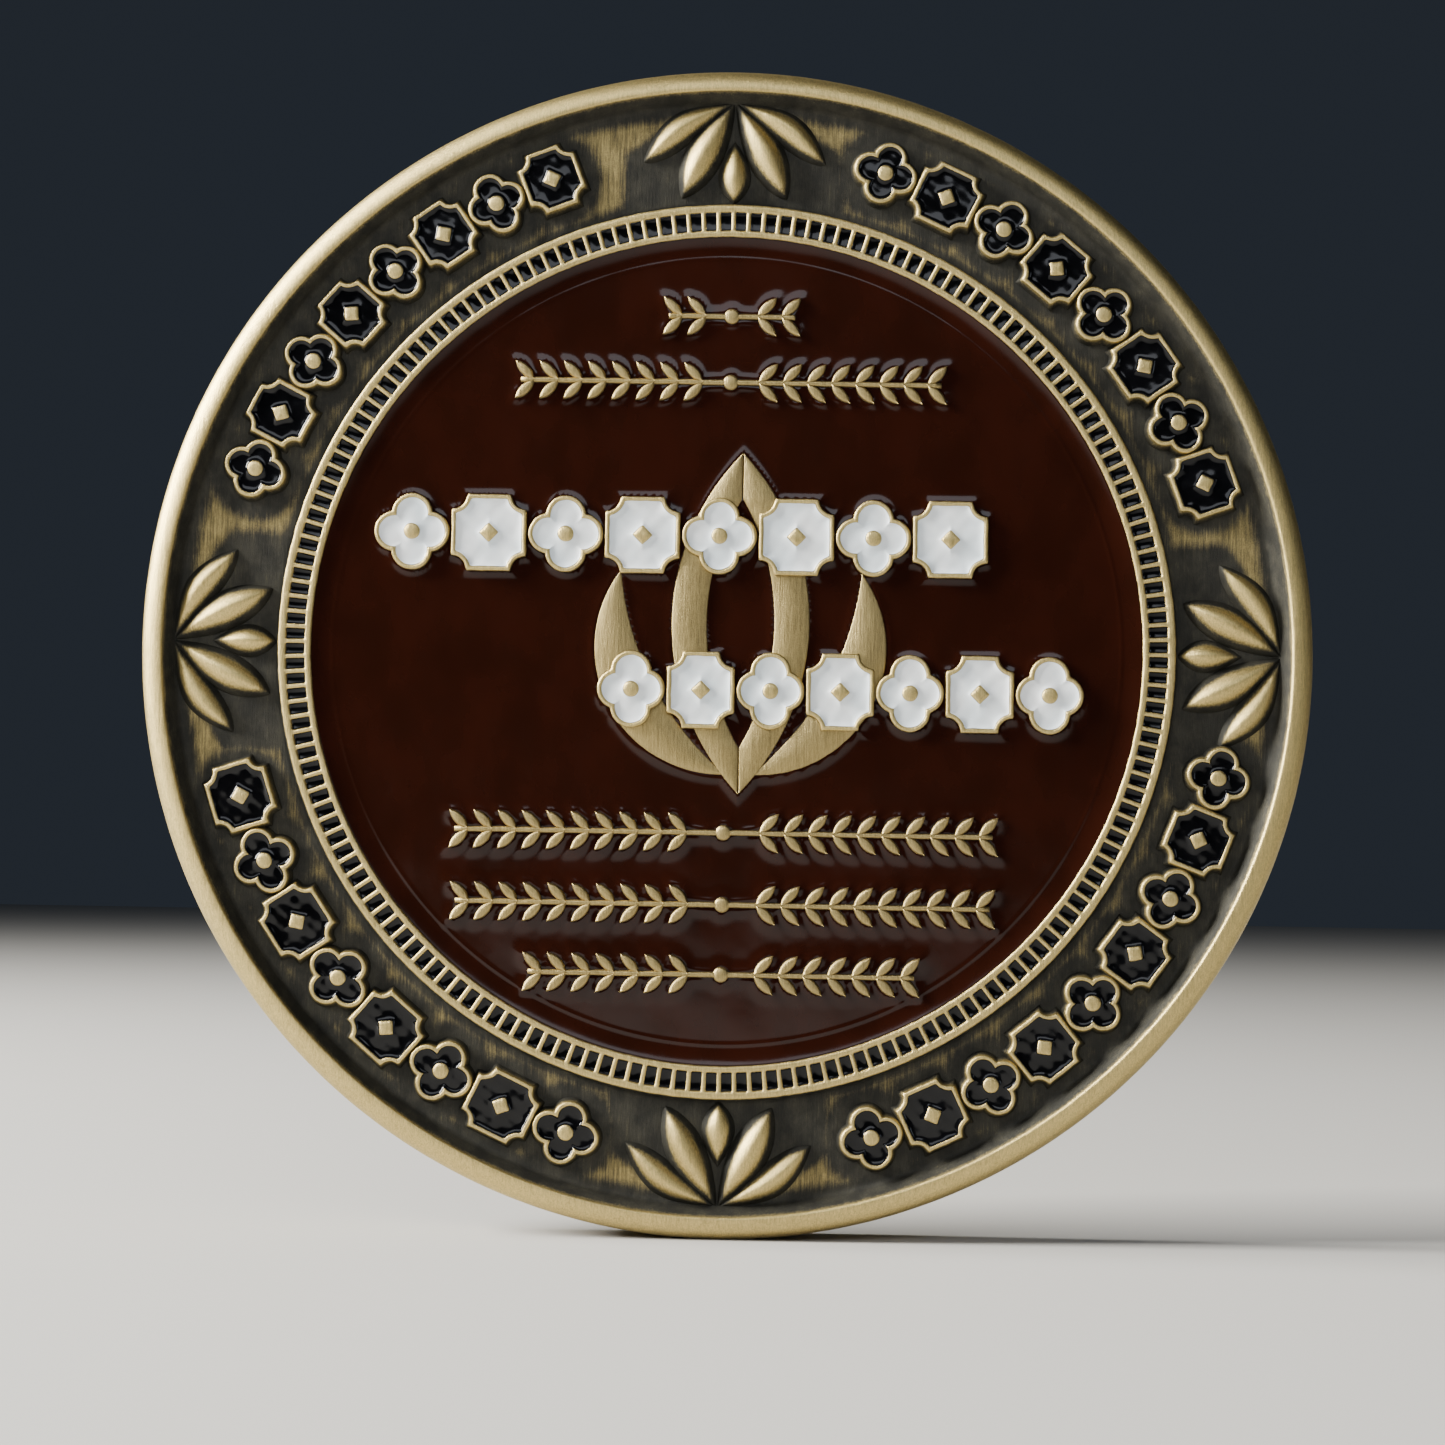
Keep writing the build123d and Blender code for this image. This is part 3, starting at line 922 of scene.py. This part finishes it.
def make_panel(name, material, nodes, side, relief):
    """Disc of enamel whose top is a height field over the distance to the nearest metal."""
    rings = np.concatenate([np.linspace(0, 16.4, 104), np.linspace(16.5, ladder_inner, 30)])
    turn = angles(720)
    radius = rings[:, None]
    x, y = radius * np.cos(turn), radius * np.sin(turn)
    level = panel_level(relief(x, y)) + edge_climb(ladder_inner - radius + 0 * x)
    level = level + wobble(x * 0.35, y * 0.35, 0.01)
    top = np.stack([x, y, level], -1)
    under = top[[-1, 0]].copy()
    under[..., 2] = panel_floor
    surface = Surface()
    surface.add(np.concatenate([top, under]), poles=True)
    return surface.build(name, material, nodes, side)


def reverse_relief_distance(x, y):
    """Distance from the large lotus of the reverse."""
    nearest = np.full(x.shape, 9.0)
    scale = reverse_lotus_scale
    for lean, start, end, *_ in petals:
        turn = math.pi / 2 + math.radians(lean)
        height = y - reverse_lotus_root
        u = x * math.cos(turn) + height * math.sin(turn)
        v = -x * math.sin(turn) + height * math.cos(turn)
        middle = (start + end) / 2 * scale
        gap = oval_distance(u - middle, v, (end - start) * scale, reverse_petal_width)
        nearest = np.minimum(nearest, gap)
    return nearest


make_blank()
make_ladder("front_ladder", front, True)
make_ladder_enamel("front_ladder_fill", ["front_ladder_enamel"], front, True)
make_ladder("reverse_ladder", reverse, False)
make_ladder_enamel("reverse_ladder_fill", ["reverse_ring_enamel"], reverse, False)
make_band_lotus("front_lotus", front)
make_band_lotus("reverse_band_lotus", reverse)
make_reverse_lotus()
make_cells("frieze_outlines", frieze_cells, frieze_height, band_floor, ladder_top, count=96, draft=0.17)
make_fills("frieze_fills", frieze_cells, frieze_height, ladder_top, count=96, material=black,
           dome=0.02)
make_cells("row_outlines", tile_cells, tile_height, panel_floor, tile_top, count=112, draft=0.03)
make_fills("row_fills", tile_cells, tile_height, tile_top, count=112, material=white,
           dome=0.0)
make_garlands()
make_emblem()
pools = [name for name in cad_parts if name.startswith("front_pool")]
make_panel("front_panel", maroon, ["front_panel_enamel", *pools], front, relief_distance)
make_panel("reverse_panel", maroon, ["reverse_panel_enamel"], reverse, reverse_relief_distance)

# ---- Studio -----------------------------------------------------------------------------------

def make_floor():
    """Plain pale floor that the coin's rim touches."""
    size = 1.5
    height = -coin_radius * MM
    corners = [(-size, -size, height), (size, -size, height), (size, size, height),
               (-size, size, height)]
    mesh = bpy.data.meshes.new("studio_floor")
    mesh.from_pydata(corners, [], [(0, 1, 2, 3)])
    floor = bpy.data.objects.new("studio_floor", mesh)
    bpy.context.scene.collection.objects.link(floor)
    material, inputs, _ = new_material("studio_floor")
    connect(inputs, Base_Color=colour(178, 176, 172), Roughness=0.9)
    mesh.materials.append(material)


def add_light(name, place, size, power, tint):
    """Soft rectangular light at a place in metres, facing the coin's centre."""
    light = bpy.data.lights.new(name, "AREA")
    light.shape = "RECTANGLE"
    light.size, light.size_y = size
    light.energy = power
    light.color = tint
    lamp = bpy.data.objects.new(name, light)
    lamp.location = place
    lamp.visible_camera = False
    lamp.rotation_euler = (-Vector(place)).to_track_quat("-Z", "Y").to_euler()
    bpy.context.scene.collection.objects.link(lamp)


def add_camera(place, toward, roll, focal):
    """Camera at a place in metres, looking along a direction, turned about it by roll degrees."""
    data = bpy.data.cameras.new("camera")
    data.lens = focal
    data.sensor_width = 36
    data.clip_start = 0.005
    data.clip_end = 20
    camera = bpy.data.objects.new("camera", data)
    aim = Vector(toward).to_track_quat("-Z", "Y").to_matrix().to_4x4()
    spin = Matrix.Rotation(math.radians(roll), 4, "Z")
    camera.matrix_world = Matrix.Translation(place) @ aim @ spin
    bpy.context.scene.collection.objects.link(camera)
    bpy.context.scene.camera = camera


make_floor()
add_light("key", (-0.38, -0.05, 0.2), (0.2, 0.2), 11.0, (1.0, 0.98, 0.93))
add_light("overhead", (-0.08, -0.42, 0.27), (0.5, 0.2), 1.0, (0.88, 0.92, 1.0))
add_light("side", (0.42, -0.34, 0.05), (0.1, 0.12), 0.12, (0.8, 0.88, 1.0))
world = bpy.data.worlds.new("studio")
world.use_nodes = True
world.node_tree.nodes["Background"].inputs["Color"].default_value = (0.02, 0.025, 0.033, 1)
bpy.context.scene.world = world
add_camera(place=(0.0011, -0.1222, -0.0105), toward=(-0.010, 0.998, 0.060), roll=1.0, focal=69.8)
